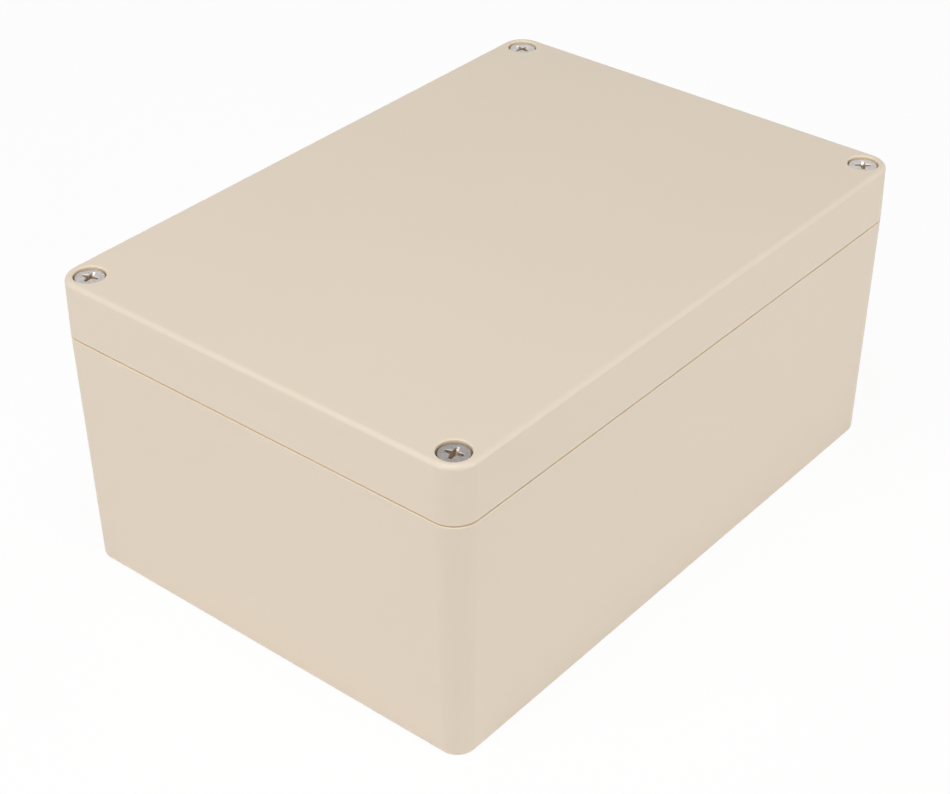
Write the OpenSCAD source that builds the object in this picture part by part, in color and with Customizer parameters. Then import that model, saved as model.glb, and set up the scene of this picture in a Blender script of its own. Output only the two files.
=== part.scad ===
// Sealed plastic project box: a deep base, a shallow lid with a gasket in its groove,
// and four captive corner screws that run into brass inserts outside the seal.
// +Z is up, X is the length, Y is the width, and the origin is the middle of the underside.

/* [Body] */
// Length of the closed box, measured at the joint line
box_l = 171; // [150:1:220]
// Width of the closed box, measured at the joint line
box_w = 121; // [110:1:160]
// Height of the closed box
box_h = 80; // [60:1:120]
// Height of the lid
lid_h = 15; // [14:0.5:20]
// Radius of the four upright corners at the joint line
corner_r = 6.4; // [5:0.1:8]
// Lean of the base's walls, in degrees: the base narrows towards its floor
base_draft = 1.2; // [0.2:0.1:1.5]
// Lean of the lid's walls, in degrees: the lid narrows towards its top
lid_draft = 0.5; // [0.2:0.1:1.5]
// Radius of the edge round the lid's top
top_edge_r = 1.2; // [0.4:0.1:1.6]
// Radius of the edge round the base's underside
bottom_edge_r = 1; // [0.4:0.1:1.5]
// Radius of the two edges on either side of the joint line
joint_edge_r = 0.3; // [0.1:0.05:0.6]
// Height of the fine gap that shows between the closed lid and the base
joint_gap = 0.3; // [0.1:0.05:0.6]
// Depth of that gap, behind which the lid rests on the base
joint_gap_depth = 1; // [0.4:0.1:1.2]

/* [Walls] */
// Thickness of the base's walls at the rim
wall = 3.5; // [3.4:0.1:4]
// Thickness of the base's floor
floor_t = 3; // [2:0.1:4]
// Thickness of the lid's top plate
plate_t = 3; // [2.4:0.1:4]

/* [Seal] */
// Distance of the seal's middle line from the box's outer faces
seal_inset = 2.6; // [2.5:0.05:2.7]
// Radius of the seal's middle line where it turns in the outer corners
seal_r = 4.5; // [4.3:0.1:5.5]
// Radius of the seal's middle line where it steps round the screw pillars
step_r = 3; // [2:0.1:3.5]
// Thickness of the tongue on the base's rim
tongue_t = 1.5; // [1.2:0.1:1.6]
// Height of the tongue on the base's rim
tongue_h = 6; // [4:0.1:6.5]
// Clearance on each side of the tongue in the lid's groove
tongue_gap = 0.4; // [0.3:0.05:0.45]
// Thickness of the wall on the inner side of the lid's groove
groove_wall = 1.6; // [1.2:0.1:2.4]
// Height of the gasket as the closed lid squeezes it
gasket_h = 2.4; // [1.6:0.1:2.8]
// Clearance on each side of the gasket in the groove
gasket_gap = 0.1; // [0.05:0.05:0.2]

/* [Lid screws] */
// Distance of the lid screws from the box's outer faces
screw_inset = 6; // [5.8:0.1:6.4]
// Thread diameter of the lid screws
screw_d = 3.94; // [3.9:0.02:4]
// Length of the lid screws under the head
screw_l = 20; // [18:0.5:20]
// Diameter of the screw heads
head_d = 7.2; // [6.6:0.1:7.4]
// Height of the screw heads
head_h = 2.6; // [2.2:0.1:2.8]
// Radius of the edge round the screw heads
head_edge_r = 0.35; // [0.1:0.05:0.5]
// Depth of the screw heads below the lid's top
head_sunk = 0.6; // [0.2:0.1:2]
// Gap round the screw heads
head_gap = 0.3; // [0.2:0.05:0.4]
// Radius of the edge round the counterbores
counterbore_edge_r = 0.35; // [0.1:0.05:0.4]
// Clearance round the screw threads in the lid
shank_gap = 0.3; // [0.2:0.05:0.5]
// Span of the cross recess at the top of the head
recess_span = 4.2; // [3.6:0.1:4.6]
// Width of the cross recess's arms
recess_w = 1; // [0.8:0.05:1.2]
// Depth of the cross recess
recess_depth = 1.8; // [1.2:0.1:2]
// Turn of each screw's recess in degrees: front left, front right, back right, back left
recess_turns = [16, 35, 80, 19];

/* [Inserts and washers] */
// Outer diameter of the brass inserts
insert_d = 5.8; // [5.4:0.1:6]
// Length of the brass inserts
insert_l = 8; // [6:0.5:10]
// Height of the plain collar at the top of an insert
insert_collar_h = 0.8; // [0.4:0.1:1.2]
// Height of the groove between an insert's two knurled bands
insert_groove_h = 1; // [0.6:0.1:1.6]
// Depth of the knurls and of the groove
knurl_depth = 0.3; // [0.15:0.05:0.35]
// Number of knurls round an insert
knurls = 24; // [16:2:32]
// Radial clearance between a screw's thread and its insert or washer
thread_gap = 0.05; // [0.02:0.01:0.08]
// Outer diameter of the washers that keep the screws in the lid
washer_d = 7; // [6.6:0.1:7.2]
// Thickness of those washers
washer_t = 1.2; // [0.8:0.1:1.6]
// Depth of the washers inside the lid's underside
washer_sunk = 0.4; // [0.3:0.1:0.8]

/* [Wall fixing] */
// Distance of the fixing channels from the box's ends
fixing_inset = 6.5; // [6.3:0.1:7.5]
// Distance from a lid screw to the fixing channel beside it, along the width
fixing_pitch = 10.5; // [9.5:0.1:13]
// Diameter of the channels that take the fixing screws' heads
channel_d = 7.5; // [7:0.1:7.8]
// Diameter of the holes for the fixing screws
fixing_d = 4.5; // [4:0.1:5]
// Thickness left under the heads of the fixing screws
fixing_seat_t = 6; // [4:0.1:8]
// Least wall between a fixing channel and the groove round it
channel_wall = 0.9; // [0.8:0.1:1.4]
// Height of the recess in the lid above each fixing channel
channel_cap_h = 8; // [4:0.1:10]

/* [Board fixings] */
// Distance between the outer board bosses along the length
boss_pitch_x = 120; // [90:1:130]
// Distance between the board bosses along the width
boss_pitch_y = 80; // [60:1:84]
// Diameter of the board bosses
boss_d = 6.5; // [5.5:0.1:8]
// Height of the board bosses above the floor
boss_h = 6; // [4:0.1:10]
// Diameter of the pilot holes in the bosses
pilot_d = 2.6; // [2:0.1:3.2]
// Depth of the pilot holes
pilot_depth = 7; // [5:0.1:7.5]
// Radius of the fillet at the foot of a boss
boss_fillet_r = 0.8; // [0.3:0.1:1.2]
// Width of the slots between the board guides' ribs
guide_slot = 2; // [1.4:0.1:2.6]
// Thickness of the board guides' ribs
guide_t = 1.3; // [1:0.1:2]
// Depth of the board guides' ribs, measured from the wall
guide_depth = 2.6; // [1.4:0.1:3]
// Spacing of the board guides along a wall
guide_pitch = 20; // [14:0.5:30]
// Distance of the board guides' tops below the rim
guide_drop = 7; // [4:0.5:16]
// Height of the slope that leads a board into its guides
guide_lead = 3; // [1:0.5:6]

/* [Hidden] */
$fn = 64;

// Signs of X and Y at the four corners, in the order of recess_turns
CORNERS = [[-1, -1], [1, -1], [1, 1], [-1, 1]];
// Depth by which one solid is sunk into another so that they join
lap = 1;
half_l = box_l / 2;
half_w = box_w / 2;
joint_z = box_h - lid_h;
// Corner centres, which every drafted wall shares
centre_x = half_l - corner_r;
centre_y = half_w - corner_r;

screw_x = half_l - screw_inset;
screw_y = half_w - screw_inset;
seat_z = box_h - head_sunk - head_h;
fixing_x = half_l - fixing_inset;
fixing_y = screw_y - fixing_pitch;

// The seal's middle line: two crossing rectangles, seal_x by step_y and step_x by seal_y
groove_w = tongue_t + 2 * tongue_gap;
groove_h = tongue_h + gasket_h;
seal_x = half_l - seal_inset;
seal_y = half_w - seal_inset;
step_x = fixing_x - channel_d / 2 - channel_wall - groove_w / 2;
step_y = fixing_y - channel_d / 2 - channel_wall - groove_w / 2;
cavity_grow = seal_inset - wall;
hollow_grow = -groove_w / 2 - groove_wall;
// How far the guides' ribs run into the wall that carries them
guide_root = wall / 4;
// Corner radius of the cavity at the joint line
cavity_r = seal_r + cavity_grow;
washer_bed_z = joint_z + washer_sunk;
tip_z = seat_z - screw_l;

plastic = [0.86, 0.81, 0.74];
rubber = [0.2, 0.2, 0.21];
steel = [0.72, 0.72, 0.72];
brass = [0.8, 0.64, 0.32];
nylon = [0.9, 0.9, 0.86];

// How far the base's walls have leant inwards at height z
function lean_in(z) = (joint_z - z) * tan(base_draft);

// Rectangle with true round corners
module rounded_rect(l, w, r) {
    square([l - 2 * r, w], center = true);
    square([l, w - 2 * r], center = true);
    for (c = CORNERS)
        translate([c[0] * (l / 2 - r), c[1] * (w / 2 - r)]) circle(r = r);
}

// Area inside the seal's middle line, grown outwards by g
module seal_area(g) {
    r = step_r - g;
    rounded_rect(2 * (seal_x + g), 2 * (step_y + g), seal_r + g);
    rounded_rect(2 * (step_x + g), 2 * (seal_y + g), seal_r + g);
    for (c = CORNERS)
        translate([c[0] * (step_x + step_r), c[1] * (step_y + step_r)])
            difference() {
                translate([-c[0] * (r + lap) / 2, -c[1] * (r + lap) / 2])
                    square(r + lap, center = true);
                circle(r = r);
            }
}

// Ring of width w that follows the seal's middle line
module seal_ring(w) {
    difference() {
        seal_area(w / 2);
        seal_area(-w / 2);
    }
}

// Distance of a leaning wall from its corner centre at height z: it is r at the joint line
function wall_at(z, r, lean) = r + (z - joint_z) * tan(lean);

// Centre of the arc of radius f at height z that rounds a leaning wall
function arc_centre(z, r, lean, f) = [wall_at(z, r, lean) - f / cos(lean), z];

// The part of a disc of radius r round c that lies between directions a and b
module sector(c, r, a, b) {
    intersection() {
        translate(c) circle(r = r);
        polygon([c, c + 2 * r * a, c + 2 * r * (a + b), c + 2 * r * b]);
    }
}

// Half section of a drafted block: z0 to z1, its lower edge rounded by f0, its upper by f1
module block_section(r, lean, z0, z1, f0, f1) {
    c0 = arc_centre(z0 + f0, r, lean, f0);
    c1 = arc_centre(z1 - f1, r, lean, f1);
    out = [cos(lean), -sin(lean)];
    polygon([[0, z0], [c0[0], z0], c0, c0 + f0 * out, c1 + f1 * out, c1, [c1[0], z1], [0, z1]]);
    sector(c0, f0, out, [0, -1]);
    sector(c1, f1, out, [0, 1]);
}

// The child section swept round a rectangle of corner centres, cx and cy from the middle
module swept_block(cx, cy, z0, z1) {
    translate([-cx, -cy, z0]) cube([2 * cx, 2 * cy, z1 - z0]);
    for (turn = [0, 180]) rotate([0, 0, turn]) {
        translate([cx, cy, 0]) rotate_extrude(angle = 90) children();
        translate([-cx, cy, 0]) rotate([0, 0, 90]) rotate_extrude(angle = 90) children();
        translate([-cx, cy, 0]) rotate([90, 0, 90]) linear_extrude(2 * cx) children();
        translate([cx, cy, 0]) rotate([90, 0, 0]) linear_extrude(2 * cy) children();
    }
}

// Puts its child in each of the four corners
module at_corners(x, y) {
    for (c = CORNERS) translate([c[0] * x, c[1] * y, 0]) children();
}

// Outside of the base: it narrows downwards from the gap at the joint line, and the lid rests on its rim
module base_block() {
    inset = joint_gap_depth;
    swept_block(centre_x, centre_y, 0, joint_z - joint_gap)
        block_section(corner_r, base_draft, 0, joint_z - joint_gap, bottom_edge_r, joint_edge_r);
    translate([0, 0, joint_z - lap]) linear_extrude(lap)
        rounded_rect(box_l - 2 * inset, box_w - 2 * inset, corner_r - inset);
}

// Half section of what a leaning inside wall encloses, from the floor to above the rim
module wall_section(r, lean) {
    top = joint_z + lap;
    polygon([[0, floor_t], [wall_at(floor_t, r, lean), floor_t], [wall_at(top, r, lean), top], [0, top]]);
}

// Inside of the base: two crossing drafted blocks, and the rounded inner edges of the screw pillars
module base_cavity() {
    post_r = step_r - cavity_grow;
    side = post_r + lean_in(0) + lap;
    for (half = [[seal_x, step_y], [step_x, seal_y]])
        swept_block(half[0] - seal_r, half[1] - seal_r, floor_t, joint_z + lap)
            wall_section(cavity_r, base_draft);
    for (c = CORNERS)
        translate([c[0] * (step_x + step_r), c[1] * (step_y + step_r), 0])
            difference() {
                translate([-c[0] * side / 2, -c[1] * side / 2, (floor_t + joint_z + lap) / 2])
                    cube([side, side, joint_z + lap - floor_t], center = true);
                rotate_extrude() wall_section(post_r, -base_draft);
            }
}

// Boss with a filleted foot that stands on the floor
module board_boss() {
    r = boss_d / 2;
    f = boss_fillet_r;
    translate([0, 0, floor_t - lap]) cylinder(d = boss_d, h = lap + boss_h);
    translate([0, 0, floor_t]) rotate_extrude() difference() {
        translate([0, -lap]) square([r + f, lap + f]);
        translate([r + f, f]) circle(r = f);
    }
}

module boss_places() {
    for (x = [-1, 0, 1], y = [-1, 1])
        translate([x * boss_pitch_x / 2, y * boss_pitch_y / 2, 0]) children();
}

// Two upright ribs that hold a board's edge against a wall at distance reach from the middle.
// They lean with the wall, and their tops slope to lead the board in.
module board_guide(reach) {
    low = floor_t - lap;
    high = joint_z - guide_drop;
    front = reach - guide_depth;
    back = reach + guide_root;
    rise = guide_lead * guide_root / guide_depth;
    for (side = [-1, 1])
        translate([0, side * (guide_slot + guide_t) / 2, 0])
            rotate([90, 0, 0]) linear_extrude(guide_t, center = true)
                polygon([[front - lean_in(low), low], [back - lean_in(low), low],
                         [back - lean_in(high + rise), high + rise],
                         [front - lean_in(high - guide_lead), high - guide_lead]]);
}

// Board guides along one wall: reach is the wall's distance and span is half its free length
module guide_row(reach, span) {
    n = floor(span / guide_pitch);
    for (i = [-n : n]) translate([0, i * guide_pitch, 0]) board_guide(reach);
}

module board_guides() {
    for (turn = [0, 180]) {
        rotate([0, 0, turn])
            guide_row(half_l - wall, step_y - guide_t - guide_slot);
        rotate([0, 0, turn + 90])
            guide_row(half_w - wall, step_x - guide_t - guide_slot);
    }
}

module base() {
    color(plastic) difference() {
        union() {
            difference() {
                base_block();
                base_cavity();
            }
            translate([0, 0, joint_z - lap]) linear_extrude(lap + tongue_h) seal_ring(tongue_t);
            boss_places() board_boss();
            board_guides();
        }
        // Seats of the thread inserts, with room under them for the screws' tips
        at_corners(screw_x, screw_y) {
            translate([0, 0, joint_z - insert_l]) cylinder(d = insert_d, h = insert_l + lap);
            translate([0, 0, tip_z - lap]) cylinder(r = screw_d / 2 + shank_gap, h = joint_z - tip_z);
        }
        // Channels and holes for the screws that fix the base to a wall
        at_corners(fixing_x, fixing_y) {
            translate([0, 0, fixing_seat_t]) cylinder(d = channel_d, h = joint_z);
            translate([0, 0, -lap]) cylinder(d = fixing_d, h = fixing_seat_t + 2 * lap);
        }
        boss_places() translate([0, 0, floor_t + boss_h - pilot_depth])
            cylinder(d = pilot_d, h = pilot_depth + lap);
    }
}

// Bore for a lid screw: rounded counterbore, clearance hole and washer bed
module lid_screw_bore() {
    r = head_d / 2 + head_gap;
    f = counterbore_edge_r;
    rotate_extrude() {
        translate([0, seat_z]) square([r, box_h - seat_z + lap]);
        difference() {
            translate([0, box_h - f]) square([r + f, f + lap]);
            translate([r + f, box_h - f]) circle(r = f);
        }
    }
    translate([0, 0, joint_z - lap])
        cylinder(r = screw_d / 2 + shank_gap, h = seat_z - joint_z + 2 * lap);
    translate([0, 0, joint_z - lap]) cylinder(d = washer_d, h = lap + washer_sunk + washer_t);
}

module lid() {
    color(plastic) difference() {
        swept_block(centre_x, centre_y, joint_z, box_h)
            block_section(corner_r, -lid_draft, joint_z, box_h, joint_edge_r, top_edge_r);
        translate([0, 0, joint_z - lap])
            linear_extrude(lid_h - plate_t + lap) seal_area(hollow_grow);
        translate([0, 0, joint_z - lap])
            linear_extrude(groove_h + lap) seal_ring(groove_w);
        at_corners(screw_x, screw_y) lid_screw_bore();
        at_corners(fixing_x, fixing_y)
            translate([0, 0, joint_z - lap]) cylinder(d = channel_d, h = channel_cap_h + lap);
    }
}

module lid_gasket() {
    color(rubber) translate([0, 0, joint_z + tongue_h])
        linear_extrude(gasket_h) seal_ring(groove_w - 2 * gasket_gap);
}

// Cross recess: the ends of its arms lie on a cone that narrows as it goes down
module cross_recess() {
    top = recess_span / 2;
    deep = recess_w / 2 + recess_depth / 4;
    intersection() {
        rotate_extrude() polygon([[0, 0], [deep, 0], [top, recess_depth],
                                  [top, recess_depth + lap], [0, recess_depth + lap]]);
        linear_extrude(recess_depth + lap) {
            square([recess_span + lap, recess_w], center = true);
            square([recess_w, recess_span + lap], center = true);
        }
    }
}

module screw(turn) {
    r = head_d / 2;
    f = head_edge_r;
    color(steel) rotate([0, 0, turn]) difference() {
        union() {
            rotate_extrude() {
                square([r, head_h - f]);
                square([r - f, head_h]);
                sector([r - f, head_h - f], f, [1, 0], [0, 1]);
            }
            translate([0, 0, lap - screw_l]) cylinder(d = screw_d, h = screw_l);
            translate([0, 0, -screw_l]) cylinder(d1 = screw_d - lap, d2 = screw_d, h = lap);
        }
        translate([0, 0, head_h - recess_depth]) cross_recess();
    }
}

// Star outline of a knurled band
function star(r, depth, n) = [for (i = [0 : 2 * n - 1])
    (r - (i % 2) * depth) * [cos(180 * i / n), sin(180 * i / n)]];

module thread_insert() {
    r = insert_d / 2;
    band_h = (insert_l - insert_collar_h - insert_groove_h) / 2;
    color(brass) difference() {
        union() {
            cylinder(r = r - knurl_depth, h = insert_l);
            translate([0, 0, insert_l - insert_collar_h]) cylinder(r = r, h = insert_collar_h);
            for (z = [0, band_h + insert_groove_h])
                translate([0, 0, z]) linear_extrude(band_h) polygon(star(r, knurl_depth, knurls));
        }
        translate([0, 0, -lap])
            cylinder(r = screw_d / 2 + thread_gap, h = insert_l + 2 * lap);
    }
}

module retaining_washer() {
    color(nylon) difference() {
        cylinder(d = washer_d, h = washer_t);
        translate([0, 0, -lap]) cylinder(r = screw_d / 2 + thread_gap, h = washer_t + 2 * lap);
    }
}

// Places its child on the axis of lid screw number i, at height z
module on_screw_axis(i, z) {
    translate([CORNERS[i][0] * screw_x, CORNERS[i][1] * screw_y, z]) children();
}

module lid_screw_front_left() { on_screw_axis(0, seat_z) screw(recess_turns[0]); }
module lid_screw_front_right() { on_screw_axis(1, seat_z) screw(recess_turns[1]); }
module lid_screw_back_right() { on_screw_axis(2, seat_z) screw(recess_turns[2]); }
module lid_screw_back_left() { on_screw_axis(3, seat_z) screw(recess_turns[3]); }
module retaining_washer_front_left() { on_screw_axis(0, washer_bed_z) retaining_washer(); }
module retaining_washer_front_right() { on_screw_axis(1, washer_bed_z) retaining_washer(); }
module retaining_washer_back_right() { on_screw_axis(2, washer_bed_z) retaining_washer(); }
module retaining_washer_back_left() { on_screw_axis(3, washer_bed_z) retaining_washer(); }
module thread_insert_front_left() { on_screw_axis(0, joint_z - insert_l) thread_insert(); }
module thread_insert_front_right() { on_screw_axis(1, joint_z - insert_l) thread_insert(); }
module thread_insert_back_right() { on_screw_axis(2, joint_z - insert_l) thread_insert(); }
module thread_insert_back_left() { on_screw_axis(3, joint_z - insert_l) thread_insert(); }

base();
lid();
lid_gasket();
lid_screw_front_left();
lid_screw_front_right();
lid_screw_back_right();
lid_screw_back_left();
retaining_washer_front_left();
retaining_washer_front_right();
retaining_washer_back_right();
retaining_washer_back_left();
thread_insert_front_left();
thread_insert_front_right();
thread_insert_back_right();
thread_insert_back_left();
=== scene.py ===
"""Dresses the plastic project box: moulded housing, threaded lid screws, seal and inserts, and a studio."""

import math

import bmesh
import bpy
import numpy as np
from bpy.props import FloatProperty, FloatVectorProperty, PointerProperty
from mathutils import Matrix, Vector


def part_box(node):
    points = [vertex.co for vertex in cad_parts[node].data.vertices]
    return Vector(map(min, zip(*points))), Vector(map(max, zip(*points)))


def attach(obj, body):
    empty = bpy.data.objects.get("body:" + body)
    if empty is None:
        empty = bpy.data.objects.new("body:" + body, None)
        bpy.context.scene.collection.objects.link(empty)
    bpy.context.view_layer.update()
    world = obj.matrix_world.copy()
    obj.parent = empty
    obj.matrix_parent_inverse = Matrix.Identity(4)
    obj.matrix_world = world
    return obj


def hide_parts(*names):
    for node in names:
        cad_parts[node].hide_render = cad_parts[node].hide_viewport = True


bl_info = {
    "name": "Plastic Project Box",
    "version": (1, 0, 0),
    "blender": (4, 5, 0),
    "location": "View3D > Sidebar > Project Box",
    "description": "Finishes a sealed plastic project box and sets it in a plain studio",
    "category": "Add Mesh",
}

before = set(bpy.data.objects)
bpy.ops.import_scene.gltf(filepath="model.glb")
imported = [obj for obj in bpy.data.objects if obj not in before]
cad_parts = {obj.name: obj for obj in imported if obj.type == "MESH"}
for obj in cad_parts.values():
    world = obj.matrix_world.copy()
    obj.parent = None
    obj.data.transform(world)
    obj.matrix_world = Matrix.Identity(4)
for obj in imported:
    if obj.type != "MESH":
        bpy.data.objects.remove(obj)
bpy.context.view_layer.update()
CORNERS = ("front_left", "front_right", "back_right", "back_left")
MM = 0.001

# Fits of the box that its finish follows
JOINT_GAP = 0.3 * MM     # height of the open joint line under the lid
HEAD_GAP = 0.3 * MM      # air between a screw's head and its counterbore

# The cross recess in a screw's head. Its size at the top of the walls counts as 1
SPAN_BELOW = 0.34        # span of the arms at the foot of the walls
WIDTH_BELOW = 0.55       # width of the arms at the foot of the walls
PIT_BELOW = 0.9          # radius of the round pit in the middle, in half widths, at the foot of the walls
PIT_ABOVE = 1.5          # the same at the top of the walls
CONE_SHARE = 0.18        # share of the recess's depth that its pointed bottom takes up
WALL_ROWS = 7            # rows of points up the recess's walls
LIP_STEPS = 3            # steps round the recess's lip
EDGE_ROWS = 7            # rows round the edge of the head's top

# The thread
THREAD_DEPTH = 0.54      # depth of the 60 degree profile, in pitches
TIP_CUT = 0.2 * MM       # how far the chamfered tip stays inside the thread's root

SHARP_FROM = math.radians(32)    # edges that turn by more are shaded as sharp
MERGE_WITHIN = 1e-6              # points nearer than this are one

# The studio, in metres. The lamps are named for their side and all face the middle of the box
LAMPS_AT = {"top": (-0.3, -0.1, 0.9), "left": (-1.1, 0.3, 0.55), "right": (0.4, -1.15, 0.26)}
LAMP_SIZE = 0.8
BOX_MIDDLE = (0, 0, 0.04)
NEAR_CLIP = 0.01
SENSOR_MM = 36


# ---- Settings that a user would change ----

class HousingSettings(bpy.types.PropertyGroup):
    """The moulded plastic of the base and the lid"""
    tint: FloatVectorProperty(name="Tint", description="Colour of the plastic", subtype="COLOR",
                              default=(0.733, 0.63, 0.507), min=0, max=1)
    # Painted light: a paler, warmer colour laid into the joint line and the counterbores, in place of light
    # that bounces into these gaps
    painted_light_tint: FloatVectorProperty(name="Edge tint", description="Colour at the joint and round the heads",
                                   subtype="COLOR", default=(0.85, 0.715, 0.525), min=0, max=1)
    roughness: FloatProperty(name="Roughness", description="How far the satin surface scatters light",
                             default=0.42, min=0, max=1, subtype="FACTOR")
    grain_size: FloatProperty(name="Grain size", description="Size of the mould's fine spark grain",
                              default=0.00035, min=0.0001, max=0.002, unit="LENGTH")
    grain_depth: FloatProperty(name="Grain depth", description="Depth of the mould's fine spark grain",
                               default=0.000006, min=0, max=0.0001, unit="LENGTH")
    sink_size: FloatProperty(name="Sink size", description="Breadth of the faint hollows left by cooling",
                             default=0.045, min=0.01, max=0.2, unit="LENGTH")
    sink_depth: FloatProperty(name="Sink depth", description="Depth of the faint hollows left by cooling",
                              default=0.00012, min=0, max=0.001, unit="LENGTH")


class ScrewSettings(bpy.types.PropertyGroup):
    """The four lid screws"""
    tint: FloatVectorProperty(name="Tint", description="Colour of the plated steel", subtype="COLOR",
                              default=(0.66, 0.616, 0.586), min=0, max=1)
    # Painted light and shade: the same steel gets a brightness of its own on each head, set to how bright
    # each head looks, so the near front left head is painted darkest
    painted_head_tones: FloatVectorProperty(name="Tones", description="Brightness of the heads, front left to back left",
                               size=4, default=(0.515, 0.86, 0.835, 0.795), min=0, max=1)
    # Painted shade: the dull dark brown laid into the lower recess, where the steel lies in shade
    recess_shade_tint: FloatVectorProperty(name="Recess shade", description="Colour of the film deep in the recess",
                               subtype="COLOR", default=(0.34, 0.24, 0.135), min=0, max=1)
    roughness: FloatProperty(name="Roughness", description="Roughness between the turning marks",
                             default=0.26, min=0, max=1, subtype="FACTOR")
    head_height: FloatProperty(name="Head height", description="Height of the cheese head",
                               default=0.0026, min=0.001, max=0.005, unit="LENGTH")
    head_edge: FloatProperty(name="Head edge", description="Radius of the edge round the head's top",
                             default=0.00035, min=0.0001, max=0.001, unit="LENGTH")
    recess_span: FloatProperty(name="Recess span", description="Span of the cross recess at the top",
                               default=0.0042, min=0.002, max=0.006, unit="LENGTH")
    recess_width: FloatProperty(name="Recess width", description="Width of the recess's arms at the top",
                                default=0.0012, min=0.0004, max=0.002, unit="LENGTH")
    recess_taper: FloatProperty(name="Recess taper", description="Share by which an arm narrows to its tip",
                                default=0.4, min=0, max=0.8, subtype="FACTOR")
    recess_lip: FloatProperty(name="Recess lip", description="Radius of the worn edge round the recess",
                              default=0.00016, min=0.00002, max=0.0004, unit="LENGTH")
    recess_depth: FloatProperty(name="Recess depth", description="Depth of the recess at its middle",
                                default=0.0021, min=0.001, max=0.0024, unit="LENGTH")
    thread_radius: FloatProperty(name="Thread radius", description="Radius of the thread's crests",
                                 default=0.00195, min=0.001, max=0.003, unit="LENGTH")
    pitch: FloatProperty(name="Pitch", description="Rise of the thread in one turn",
                         default=0.0007, min=0.0003, max=0.002, unit="LENGTH")
    mark_size: FloatProperty(name="Turning marks", description="Distance between the turning marks",
                             default=0.00012, min=0.00002, max=0.001, unit="LENGTH")


class FittingSettings(bpy.types.PropertyGroup):
    """The gasket, the retaining washers and the thread inserts"""
    rubber: FloatVectorProperty(name="Rubber", description="Colour of the gasket", subtype="COLOR",
                                default=(0.028, 0.028, 0.03), min=0, max=1)
    nylon: FloatVectorProperty(name="Nylon", description="Colour of the washers", subtype="COLOR",
                               default=(0.78, 0.76, 0.68), min=0, max=1)
    brass: FloatVectorProperty(name="Brass", description="Colour of the inserts", subtype="COLOR",
                               default=(0.79, 0.58, 0.27), min=0, max=1)
    cell_size: FloatProperty(name="Cell size", description="Size of the cells in the gasket's foam",
                             default=0.0005, min=0.0001, max=0.003, unit="LENGTH")


class StageSettings(bpy.types.PropertyGroup):
    """Floor, lights and camera"""
    floor_tint: FloatVectorProperty(name="Floor", description="Colour of the floor", subtype="COLOR",
                                    default=(0.93, 0.93, 0.93), min=0, max=1)
    floor_size: FloatProperty(name="Floor size", description="Length of the floor's sides",
                              default=6, min=1, max=50, unit="LENGTH")
    whiteness: FloatProperty(name="Whiteness", description="Share of the floor that shows as plain white",
                             default=0.93, min=0, max=1, subtype="FACTOR")
    ambient: FloatProperty(name="Ambient", description="Strength of the white surroundings",
                           default=0.2, min=0, max=2)
    top_power: FloatProperty(name="Top lamp", description="Power of the lamp overhead",
                             default=5.75, min=0, max=200, unit="POWER")
    left_power: FloatProperty(name="Left lamp", description="Power of the lamp at the short side",
                              default=4.75, min=0, max=200, unit="POWER")
    right_power: FloatProperty(name="Right lamp", description="Power of the lamp at the long side",
                               default=6.9, min=0, max=200, unit="POWER")
    camera_at: FloatVectorProperty(name="Camera", description="Place of the camera", unit="LENGTH",
                                   default=(-0.3391, -0.2762, 0.3253))
    camera_turn: FloatVectorProperty(name="Camera turn", description="Tilt, roll and heading of the camera",
                                     subtype="EULER",
                                     default=tuple(math.radians(a) for a in (56.299, 0.044, -50.734)))
    lens: FloatProperty(name="Lens", description="Focal length on a sensor 36 mm wide",
                        default=79.11, min=20, max=300, unit="CAMERA")
    shift: FloatVectorProperty(name="Shift", description="Shift of the picture, as shares of its width",
                               size=2, default=(-0.0153, -0.0208), precision=4)


class ProjectBoxSettings(bpy.types.PropertyGroup):
    """Everything about the box that can be set"""
    housing: PointerProperty(type=HousingSettings)
    screws: PointerProperty(type=ScrewSettings)
    fittings: PointerProperty(type=FittingSettings)
    stage: PointerProperty(type=StageSettings)


# ---- Materials ----

class Value:
    """A shader value that varies over a surface. Arithmetic on it adds Math nodes to its tree."""

    def __init__(self, nodes, socket):
        self.nodes = nodes
        self.socket = socket

    def _math(self, operation, first, second):
        return self.nodes.add("ShaderNodeMath", {"operation": operation}, {0: first, 1: second})

    def __add__(self, other):
        return self._math("ADD", self, other)

    def __sub__(self, other):
        return self._math("SUBTRACT", self, other)

    def __rsub__(self, other):
        return self._math("SUBTRACT", other, self)

    def __mul__(self, other):
        return self._math("MULTIPLY", self, other)

    def __truediv__(self, other):
        return self._math("DIVIDE", self, other)

    def __or__(self, other):
        """Joins two masks, by the larger of both."""
        return self._math("MAXIMUM", self, other)

    __radd__ = __add__
    __rmul__ = __mul__


class Nodes:
    """A node tree in the making."""

    def __init__(self, owner):
        owner.use_nodes = True
        self.tree = owner.node_tree
        self.tree.nodes.clear()

    def add(self, kind, settings=None, inputs=None, output=0):
        """Adds a node, makes its settings, then sets or links its sockets, and returns one output."""
        made = self.tree.nodes.new(kind)
        for key, value in (settings or {}).items():
            setattr(made, key, value)
        for key, value in (inputs or {}).items():
            self.feed(made, key, value)
        return Value(self, made.outputs[output])

    def feed(self, node, key, value):
        """Sets a node's socket to a constant, or links a varying value to it."""
        if isinstance(value, Value):
            self.tree.links.new(value.socket, node.inputs[key])
        else:
            node.inputs[key].default_value = value


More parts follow.
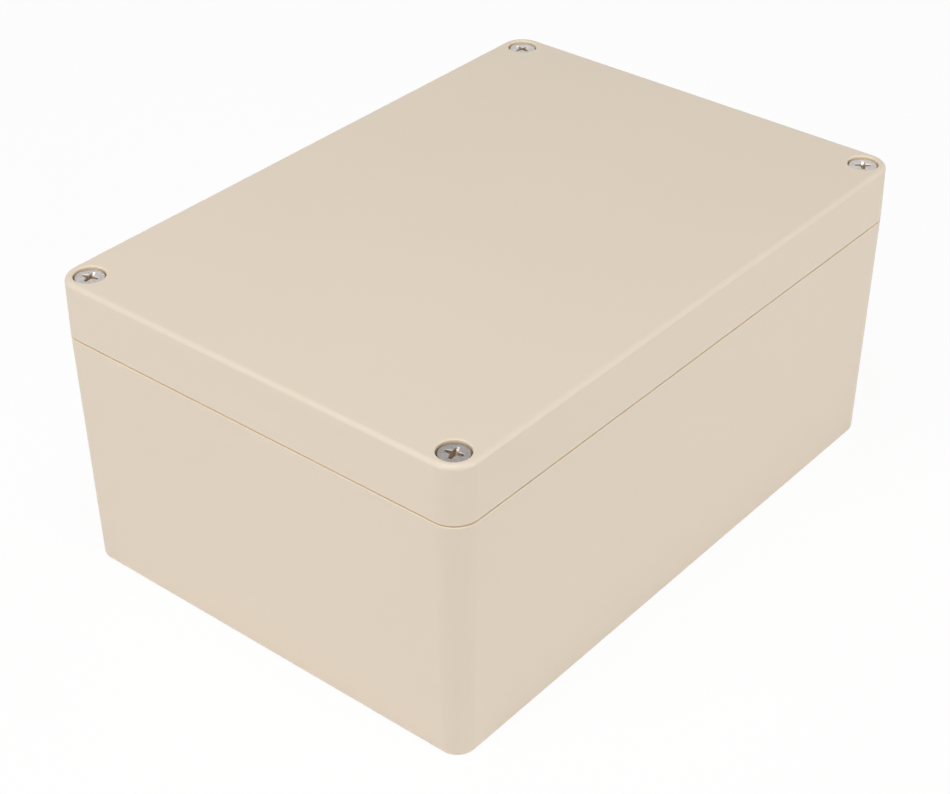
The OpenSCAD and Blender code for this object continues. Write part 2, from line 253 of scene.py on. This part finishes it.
class Finish(Nodes):
    """A material for a solid piece. Constants are set on the shader's own sockets."""

    def __init__(self, name, **constants):
        self.material = bpy.data.materials.new(name)
        super().__init__(self.material)
        surface = self.add("ShaderNodeBsdfPrincipled")
        self.shader = surface.socket.node
        self.feed(self.tree.nodes.new("ShaderNodeOutputMaterial"), "Surface", surface)
        self.set(**constants)

    def set(self, **values):
        """Sets or links the shader's sockets, and returns the material."""
        for socket, value in values.items():
            self.feed(self.shader, socket.replace("_", " "), value)
        return self.material

    def place(self, centre=(0, 0, 0)):
        """Object coordinates in metres, counted from centre."""
        here = self.add("ShaderNodeTexCoord", output="Object")
        return self.add("ShaderNodeVectorMath", {"operation": "SUBTRACT"}, {0: here, 1: centre})

    def height(self, place):
        """Height of place, from its third coordinate."""
        return self.add("ShaderNodeSeparateXYZ", None, {0: place}, "Z")

    def radius(self, place, middle=(0, 0, 0)):
        """Distance of place from the upright axis through middle."""
        flat = self.add("ShaderNodeVectorMath", {"operation": "MULTIPLY"}, {0: place, 1: (1, 1, 0)})
        return self.add("ShaderNodeVectorMath", {"operation": "DISTANCE"}, {0: flat, 1: middle}, "Value")

    def noise(self, size, place, detail=2.0):
        """Cloudy noise from 0 to 1 whose clouds are about size metres across."""
        return self.add("ShaderNodeTexNoise", None, {"Vector": place, "Scale": 1 / size, "Detail": detail})

    def ramp(self, value, low, high):
        """0 where value is low or beyond, 1 where it is high or beyond, and a straight slope between."""
        return self.add("ShaderNodeMapRange", None, {"Value": value, "From Min": low, "From Max": high})

    def mixed(self, first, second, share):
        """The first colour, giving way to the second as the varying share goes from 0 to 1."""
        return self.add("ShaderNodeMix", {"data_type": "RGBA"}, {0: share, 6: first, 7: second}, 2)

    def tinted(self, tint, shade):
        """The colour tint, darkened or lightened by the varying factor shade."""
        return self.add("ShaderNodeVectorMath", {"operation": "SCALE"}, {0: tuple(tint), "Scale": shade})

    def bump(self, height, depth, under=None):
        """A bump of the given depth in metres, laid over the normal under."""
        inputs = {"Strength": 1.0, "Distance": depth, "Height": height}
        if under is not None:
            inputs["Normal"] = under
        return self.add("ShaderNodeBump", None, inputs)


def joint_light_mask(finish, height):
    """1 in the open joint line between base and lid, where light is painted into the plastic's colour,
    falling to 0 past its two edges.
    """
    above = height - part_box("lid")[0].z
    whole, gone = 0.05 * MM, 0.15 * MM
    return (finish.ramp(above, -JOINT_GAP - gone, -JOINT_GAP - whole)
            * finish.ramp(above, gone, whole))


def bore_light_mask(finish, place, height):
    """1 in the four counterbores of the lid, where light is painted into the plastic's colour, falling to 0
    past their edges and under the heads.

    Places are folded over the box's two middle planes, so the back right screw stands for all four.
    """
    low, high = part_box("lid_screw_back_right")
    middle = ((low.x + high.x) / 2, (low.y + high.y) / 2, 0)
    bore_r = (high.x - low.x) / 2 + HEAD_GAP
    folded = finish.add("ShaderNodeVectorMath", {"operation": "ABSOLUTE"}, {0: place})
    outside = finish.radius(folded, middle) - bore_r
    whole_outside, gone_outside = 0.02 * MM, 0.15 * MM
    under = high.z - height
    whole_under, gone_under = 4 * MM, 5 * MM
    return finish.ramp(outside, gone_outside, whole_outside) * finish.ramp(under, gone_under, whole_under)


def housing_plastic(settings):
    """Satin moulded plastic: fine spark grain over faint sink marks, with a slight drift in tone.

    The joint line and the counterbores round the screws' heads are painted paler and warmer: painted light,
    standing in for the light that bounces into these narrow gaps and glows through the plastic.
    """
    finish = Finish("housing_plastic", Metallic=0.0, IOR=1.52)
    place = finish.place()
    height = finish.height(place)
    # edges is painted light: the joint line and the counterbores get a paler, warmer colour in place of the
    # light that bounces into them
    edges = joint_light_mask(finish, height) | bore_light_mask(finish, place, height)
    grain = finish.noise(settings.grain_size, place, detail=3.0)
    sink = finish.noise(settings.sink_size, place, detail=1.0)
    drift = finish.noise(60 * MM, place, detail=3.0)
    # Noise lies about a half, so the tint and the roughness stay as they are set on the whole
    body = finish.tinted(settings.tint, 0.985 + 0.03 * drift)
    sunk = finish.bump(sink, settings.sink_depth)
    return finish.set(
        Base_Color=finish.mixed(body, (*settings.painted_light_tint, 1), edges),
        Roughness=settings.roughness - 0.05 + 0.1 * grain,
        Normal=finish.bump(grain, settings.grain_depth, under=sunk))


def recess_shade_mask(finish, settings, depth, radius):
    """1 where shade is painted into the recess: on its lower walls and its bottom, short of the arms' tips.

    It sets in below the head's top, and is gone where the head ends and the thread starts.
    """
    sets_in, whole = 0.1 * MM, 0.7 * MM
    reach = 0.36 * settings.recess_span
    whole_r, gone_r = reach - 0.1 * MM, reach + 0.2 * MM
    return (finish.ramp(depth, sets_in, whole) * finish.ramp(radius, gone_r, whole_r)
            * finish.ramp(depth, settings.head_height, settings.recess_depth))


def turned_steel(name, settings, centre, tone):
    """Plated steel with rings of fine turning marks round the screw's axis, a dark brown painted shade in
    its recess, and a painted brightness of its own, tone.
    """
    finish = Finish(name, IOR=1.5)
    place = finish.place(centre)
    radius = finish.radius(place)
    # Painted shade: the recess goes dull dark brown and loses its metal, in place of the shade down in it
    painted_shade = recess_shade_mask(finish, settings, 0 - finish.height(place), radius)
    rings = finish.add("ShaderNodeTexNoise", {"noise_dimensions": "1D"},
                       {"W": radius / settings.mark_size, "Scale": 1.0, "Detail": 2.0})
    smudge = finish.noise(1.6 * MM, place, detail=3.0)
    grit = finish.noise(0.45 * MM, place)
    # With noise about a half, this shade lies about 1
    shade = 0.2 + 0.1 * rings + 0.5 * smudge + grit
    # tone paints this head's own light and shade into the steel's colour
    plating = finish.tinted(np.array(settings.tint) * tone, shade)
    return finish.set(
        Base_Color=finish.mixed(plating, (*settings.recess_shade_tint, 1), painted_shade),
        Metallic=1 - painted_shade,
        Roughness=settings.roughness - 0.06 + 0.14 * smudge + 0.08 * rings + 0.3 * painted_shade,
        Normal=finish.bump(rings + grit + smudge, depth=0.02 * MM))


def gasket_rubber(settings):
    """Matt black foam rubber with small closed cells."""
    finish = Finish("gasket_rubber", Metallic=0.0)
    place = finish.place()
    cells = finish.add("ShaderNodeTexVoronoi", None, {"Vector": place, "Scale": 1 / settings.cell_size})
    dust = finish.noise(4 * MM, place, detail=4.0)
    return finish.set(
        Base_Color=finish.tinted(settings.rubber, 0.8 + 0.5 * dust),
        Roughness=0.78 + 0.12 * dust,
        Normal=finish.bump(cells, depth=0.06 * MM))


def washer_nylon(settings):
    """Natural nylon: off-white and waxy."""
    finish = Finish("washer_nylon", Metallic=0.0, IOR=1.53)
    place = finish.place()
    mottle = finish.noise(1.2 * MM, place, detail=3.0)
    return finish.set(
        Base_Color=finish.tinted(settings.nylon, 0.95 + 0.08 * mottle),
        Roughness=0.4 + 0.15 * mottle,
        Normal=finish.bump(mottle, depth=0.01 * MM))


def insert_brass(settings):
    """Turned brass with a slight tarnish in patches."""
    finish = Finish("insert_brass", Metallic=1.0)
    place = finish.place()
    tarnish = finish.noise(1.4 * MM, place, detail=4.0)
    marks = finish.noise(MM / 9, place)
    return finish.set(
        Base_Color=finish.tinted(settings.brass, 0.82 + 0.24 * tarnish),
        Roughness=0.24 + 0.2 * tarnish,
        Normal=finish.bump(marks, depth=0.004 * MM))


def dress(node, material):
    """Gives a CAD node's object one material."""
    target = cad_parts[node]
    target.data.materials.clear()
    target.data.materials.append(material)


# ---- Lid screws ----

def cross_ring(half_span, half_width, pit, taper, tip_steps=8, side_steps=12):
    """Outline of a cross recess, as points (x, y) on a fixed number of columns.

    One quarter runs from an inner corner out along an arm, round its tip and back; the quarter is
    turned three times. An arm's half width falls evenly by the share taper from its root to its tip,
    the tip lies on the circle of half the span, and points nearer the middle than the pit's radius
    are pushed out to that radius.
    """
    def width_at(x):
        return half_width * (1 - taper * (x - half_width) / (half_span - half_width))

    out = np.linspace(half_width, half_span, side_steps, endpoint=False)
    tip = np.linspace(-1, 1, tip_steps, endpoint=False) * width_at(half_span)
    back = np.linspace(half_span, half_width, side_steps, endpoint=False)
    quarter = np.concatenate([
        np.stack([out, -width_at(out)], 1),
        np.stack([np.sqrt(half_span ** 2 - tip ** 2), tip], 1),
        np.stack([back, width_at(back)], 1)])
    turned = [quarter @ np.array([[math.cos(a), math.sin(a)], [-math.sin(a), math.cos(a)]])
              for a in np.arange(4) * math.pi / 2]
    ring = np.concatenate(turned)
    reach = np.linalg.norm(ring, axis=1, keepdims=True)
    return ring * np.maximum(1, pit / reach)


def between(start, end, t):
    """A value that goes evenly from start at t = 0 to end at t = 1."""
    return start + (end - start) * t


def level(ring, z):
    """Lifts a ring of (x, y) points to height z."""
    return np.column_stack([ring, np.full(len(ring), z)])


def head_rings(settings, head_r, angles):
    """Rings of the head from the recess's point, up its walls, over the top and down the side.

    Heights are counted from the head's seat. The recess's walls lean: span, width and pit go evenly
    from their sizes below to those above. Its lip is a quarter circle: at angle a it has gone
    lip * (1 - cos a) out and lip * sin a up. So is the head's edge: at angle a it has gone
    edge * sin a out and edge * (1 - cos a) down. Between the two the flat top goes evenly from the
    recess's outline to a circle.
    """
    top = settings.head_height
    half_span = settings.recess_span / 2
    half_width = settings.recess_width / 2
    taper = settings.recess_taper
    lip = settings.recess_lip
    edge = settings.head_edge
    circle = np.stack([np.cos(angles), np.sin(angles)], 1)
    floor = top - settings.recess_depth
    rings = [level(circle * 0, floor)]
    for t in np.linspace(0, 1, WALL_ROWS):
        wall = cross_ring(half_span * between(SPAN_BELOW, 1, t), half_width * between(WIDTH_BELOW, 1, t),
                          half_width * between(PIT_BELOW, PIT_ABOVE, t), taper)
        rings.append(level(wall, floor + settings.recess_depth * between(CONE_SHARE, 1, t) - lip))
    for a in np.linspace(0, math.pi / 2, LIP_STEPS + 1)[1:]:
        out = lip * (1 - math.cos(a))
        mouth = cross_ring(half_span + out, half_width + out, half_width * PIT_ABOVE + out, taper)
        rings.append(level(mouth, top - lip + lip * math.sin(a)))
    flat_r = head_r - edge
    for t in (0.3, 0.65):
        rings.append(level(between(mouth, circle * flat_r, t), top))
    for a in np.linspace(0, math.pi / 2, EDGE_ROWS):
        rings.append(level(circle * (flat_r + edge * math.sin(a)), top - edge * (1 - math.cos(a))))
    foot = 0.15 * MM
    rings.append(level(circle * head_r, foot))
    rings.append(level(circle * (head_r - foot), 0))
    return rings


def thread_rows(settings, length, turns_round):
    """Rows of the threaded shank, going down from the head's seat.

    A row holds one phase of the 60 degree profile and climbs one pitch per turn, so that roots and
    crests run along whole rows: z = pitch * (turn - phase). Heights are clipped to the shank, the
    thread fades out under the head, and a 45 degree chamfer caps the radius near the tip.
    """
    pitch = settings.pitch
    crest_r = settings.thread_radius
    root_r = crest_r - THREAD_DEPTH * pitch
    tip_r = root_r - TIP_CUT
    # The root runs over the first quarter of a pitch, and the crest from 9 to 11 sixteenths of it
    phases = np.array([0.0, 0.25, 0.5625, 0.6875])
    profile = np.array([root_r, root_r, crest_r, crest_r])
    count = math.ceil(length / pitch) + 2
    row = (np.arange(count)[:, None] + phases[None, :]).ravel() - 1
    z = pitch * (turns_round[None, :] - row[:, None])
    fade = np.clip(-z / pitch, 0, 1)
    r = between(root_r, np.tile(profile, count)[:, None], fade)
    r = np.minimum(r, np.maximum(tip_r, tip_r + (z + length)))
    r = np.where(z >= 0, root_r, r)
    r = np.where(z <= -length, tip_r, r)
    return r, np.clip(z, -length, 0), len(phases)


def screw_mesh(name, settings, head_r, length, turn, seat):
    """One closed surface: head rings joined to helical thread rows, turned and put on its seat.

    All rows have one point per column, and a column has one angle, taken from the recess's outline.
    """
    half_width = settings.recess_width / 2
    mouth = cross_ring(settings.recess_span / 2, half_width, half_width, settings.recess_taper)
    angles = np.arctan2(mouth[:, 1], mouth[:, 0])
    round_share = np.mod(angles - angles[0], 2 * math.pi) / (2 * math.pi)
    rings = head_rings(settings, head_r, angles)
    r, z, per_turn = thread_rows(settings, length, round_share)
    rows = np.stack([r * np.cos(angles), r * np.sin(angles), z], 2)
    tip = level(np.zeros((len(angles), 2)), -length)
    grid = np.concatenate([np.array(rings), rows, tip[None]])
    count, columns = grid.shape[:2]
    index = np.arange(count * columns).reshape(count, columns)
    faces = [ring_faces(index[:-1, :-1], index[:-1, 1:], index[1:, 1:], index[1:, :-1])]
    # At the seam a threaded row meets the row one turn above it
    first, last = len(rings), len(rings) + len(rows)
    partner = np.arange(count)
    partner[first + per_turn:last] -= per_turn
    partner[last - 1] = last - 1
    left, right = index[:, -1], index[partner, 0]
    faces.append(ring_faces(left[:-1], right[:-1], right[1:], left[1:]))
    points = grid.reshape(-1, 3)
    c, s = math.cos(turn), math.sin(turn)
    points = points @ np.array([[c, s, 0], [-s, c, 0], [0, 0, 1]]) + np.array(seat)
    return closed_mesh(name, points, np.concatenate(faces))


def ring_faces(a, b, c, d):
    """Quads from four arrays of corner indices."""
    return np.stack([a, b, c, d], -1).reshape(-1, 4)


def closed_mesh(name, points, faces):
    """A mesh object whose coinciding points are merged and whose faces point outwards."""
    mesh = bpy.data.meshes.new(name)
    mesh.from_pydata(points.tolist(), [], faces.tolist())
    form = bmesh.new()
    form.from_mesh(mesh)
    bmesh.ops.remove_doubles(form, verts=form.verts, dist=MERGE_WITHIN)
    bmesh.ops.dissolve_degenerate(form, edges=form.edges, dist=MERGE_WITHIN)
    bmesh.ops.recalc_face_normals(form, faces=form.faces)
    form.to_mesh(mesh)
    form.free()
    mesh.shade_smooth()
    mesh.set_sharp_from_angle(angle=SHARP_FROM)
    made = bpy.data.objects.new(name, mesh)
    bpy.context.scene.collection.objects.link(made)
    return made


def recess_turn(node, centre, top):
    """Turn of a CAD screw's cross recess, from the tips of its arms in the head's top.

    Each tip's angle is multiplied by four, so that all arms point the same way and can be summed.
    """
    level_within = 0.01 * MM
    inside_tips, past_tips = 1.5 * MM, 2.5 * MM
    points = np.array([v.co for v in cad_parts[node].data.vertices])
    flat = points[np.abs(points[:, 2] - top) < level_within][:, :2] - np.array(centre)
    from_axis = np.linalg.norm(flat, axis=1)
    tips = flat[(from_axis > inside_tips) & (from_axis < past_tips)]
    pointing = (tips[:, 0] + 1j * tips[:, 1]) / np.linalg.norm(tips, axis=1)
    return float(np.angle(np.sum(pointing ** 4)) / 4)


# ---- Studio ----

def seen_directly(nodes):
    """1 for camera, glossy and transmission rays, and 0 for the rest."""
    camera = nodes.add("ShaderNodeLightPath", output="Is Camera Ray")
    kinds = camera.socket.node.outputs
    return camera | Value(nodes, kinds["Is Glossy Ray"]) | Value(nodes, kinds["Is Transmission Ray"])


def floor_material(settings):
    """A pale matt floor, of which a share shows as plain white so that its shadows stay faint."""
    floor = bpy.data.materials.new("studio_floor")
    nodes = Nodes(floor)
    matt = nodes.add("ShaderNodeBsdfDiffuse", None, {"Color": (*settings.floor_tint, 1)})
    white = nodes.add("ShaderNodeEmission")
    share = seen_directly(nodes) * settings.whiteness
    mixed = nodes.add("ShaderNodeMixShader", None, {0: share, 1: matt, 2: white})
    nodes.feed(nodes.tree.nodes.new("ShaderNodeOutputMaterial"), "Surface", mixed)
    return floor


def white_world(ambient):
    """Surroundings that look plain white and light the box with the strength ambient."""
    world = bpy.data.worlds.new("white_surroundings")
    nodes = Nodes(world)
    strength = ambient + (1 - ambient) * seen_directly(nodes)
    background = nodes.add("ShaderNodeBackground", None, {"Color": (1, 1, 1, 1), "Strength": strength})
    nodes.feed(nodes.tree.nodes.new("ShaderNodeOutputWorld"), "Surface", background)
    return world


def soft_lamp(name, at, power):
    """Hangs a square lamp at a point, facing the middle of the box."""
    lamp = bpy.data.lights.new(name, "AREA")
    lamp.size = LAMP_SIZE
    lamp.energy = power
    holder = bpy.data.objects.new(name, lamp)
    holder.location = at
    direction = Vector(BOX_MIDDLE) - Vector(at)
    holder.rotation_euler = direction.to_track_quat("-Z", "Y").to_euler()
    bpy.context.scene.collection.objects.link(holder)


# ---- Operators ----

class PROJECT_BOX_OT_housing(bpy.types.Operator):
    """Give the base and the lid their moulded plastic"""
    bl_idname = "project_box.housing"
    bl_label = "Finish the housing"

    def execute(self, context):
        plastic = housing_plastic(context.scene.project_box.housing)
        dress("base", plastic)
        dress("lid", plastic)
        return {"FINISHED"}


class PROJECT_BOX_OT_screws(bpy.types.Operator):
    """Build the four threaded lid screws in place of the plain ones"""
    bl_idname = "project_box.screws"
    bl_label = "Build the lid screws"

    def execute(self, context):
        settings = context.scene.project_box.screws
        # Each head's tone is its painted brightness
        for corner, tone in zip(CORNERS, settings.painted_head_tones):
            node = "lid_screw_" + corner
            low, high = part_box(node)
            x, y = (low.x + high.x) / 2, (low.y + high.y) / 2
            head_r = (high.x - low.x) / 2
            seat_z = high.z - settings.head_height
            turn = recess_turn(node, (x, y), high.z)
            screw = screw_mesh("screw_" + corner, settings, head_r, seat_z - low.z, turn, (x, y, seat_z))
            steel = turned_steel("screw_steel_" + corner, settings, (x, y, high.z), tone)
            screw.data.materials.append(steel)
            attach(screw, "screw_" + corner)
            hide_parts(node)
        return {"FINISHED"}


class PROJECT_BOX_OT_fittings(bpy.types.Operator):
    """Finish the gasket, the retaining washers and the thread inserts"""
    bl_idname = "project_box.fittings"
    bl_label = "Finish the fittings"

    def execute(self, context):
        settings = context.scene.project_box.fittings
        dress("lid_gasket", gasket_rubber(settings))
        nylon = washer_nylon(settings)
        brass = insert_brass(settings)
        for corner in CORNERS:
            dress("retaining_washer_" + corner, nylon)
            dress("thread_insert_" + corner, brass)
        return {"FINISHED"}


class PROJECT_BOX_OT_stage(bpy.types.Operator):
    """Set the box on a pale floor with soft lamps and a camera"""
    bl_idname = "project_box.stage"
    bl_label = "Set the stage"

    def execute(self, context):
        settings = context.scene.project_box.stage
        self.lay_floor(settings)
        self.hang_lamps(settings)
        context.scene.world = white_world(settings.ambient)
        self.place_camera(context.scene, settings)
        return {"FINISHED"}

    def lay_floor(self, settings):
        """Lays one square under the box, at height 0"""
        half = settings.floor_size / 2
        mesh = bpy.data.meshes.new("studio_floor")
        corners = [(-half, -half, 0), (half, -half, 0), (half, half, 0), (-half, half, 0)]
        mesh.from_pydata(corners, [], [(0, 1, 2, 3)])
        mesh.materials.append(floor_material(settings))
        floor = bpy.data.objects.new("studio_floor", mesh)
        bpy.context.scene.collection.objects.link(floor)

    def hang_lamps(self, settings):
        """Hangs the lamps overhead, at the short side and at the long side"""
        powers = {"top": settings.top_power, "left": settings.left_power, "right": settings.right_power}
        for side, at in LAMPS_AT.items():
            soft_lamp("lamp_" + side, at, powers[side])

    def place_camera(self, scene, settings):
        """Adds the camera and makes it the scene's own"""
        camera = bpy.data.cameras.new("camera")
        camera.sensor_width = SENSOR_MM
        camera.lens = settings.lens
        camera.shift_x, camera.shift_y = settings.shift
        camera.clip_start = NEAR_CLIP
        holder = bpy.data.objects.new("camera", camera)
        holder.location = settings.camera_at
        holder.rotation_euler = settings.camera_turn
        scene.collection.objects.link(holder)
        scene.camera = holder
        scene.view_settings.view_transform = "Standard"


class PROJECT_BOX_PT_panel(bpy.types.Panel):
    """Lists the box's settings and the steps that build it"""
    bl_idname = "PROJECT_BOX_PT_panel"
    bl_label = "Project Box"
    bl_space_type = "VIEW_3D"
    bl_region_type = "UI"
    bl_category = "Project Box"

    def draw(self, context):
        settings = context.scene.project_box
        steps = ((settings.housing, "project_box.housing"), (settings.screws, "project_box.screws"),
                 (settings.fittings, "project_box.fittings"), (settings.stage, "project_box.stage"))
        for group, operator in steps:
            part = self.layout.box()
            for key in group.bl_rna.properties.keys():
                if key not in {"rna_type", "name"}:
                    part.prop(group, key)
            part.operator(operator)


CLASSES = (HousingSettings, ScrewSettings, FittingSettings, StageSettings, ProjectBoxSettings,
           PROJECT_BOX_OT_housing, PROJECT_BOX_OT_screws, PROJECT_BOX_OT_fittings, PROJECT_BOX_OT_stage,
           PROJECT_BOX_PT_panel)


def register():
    """Registers the classes and gives each scene its settings."""
    for cls in CLASSES:
        bpy.utils.register_class(cls)
    bpy.types.Scene.project_box = PointerProperty(type=ProjectBoxSettings)


def unregister():
    """Takes the settings and the classes away again."""
    del bpy.types.Scene.project_box
    for cls in reversed(CLASSES):
        bpy.utils.unregister_class(cls)


def main():
    """Builds the whole scene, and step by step."""
    register()
    bpy.ops.project_box.housing()
    bpy.ops.project_box.screws()
    bpy.ops.project_box.fittings()
    bpy.ops.project_box.stage()


if __name__ == "__main__":
    main()
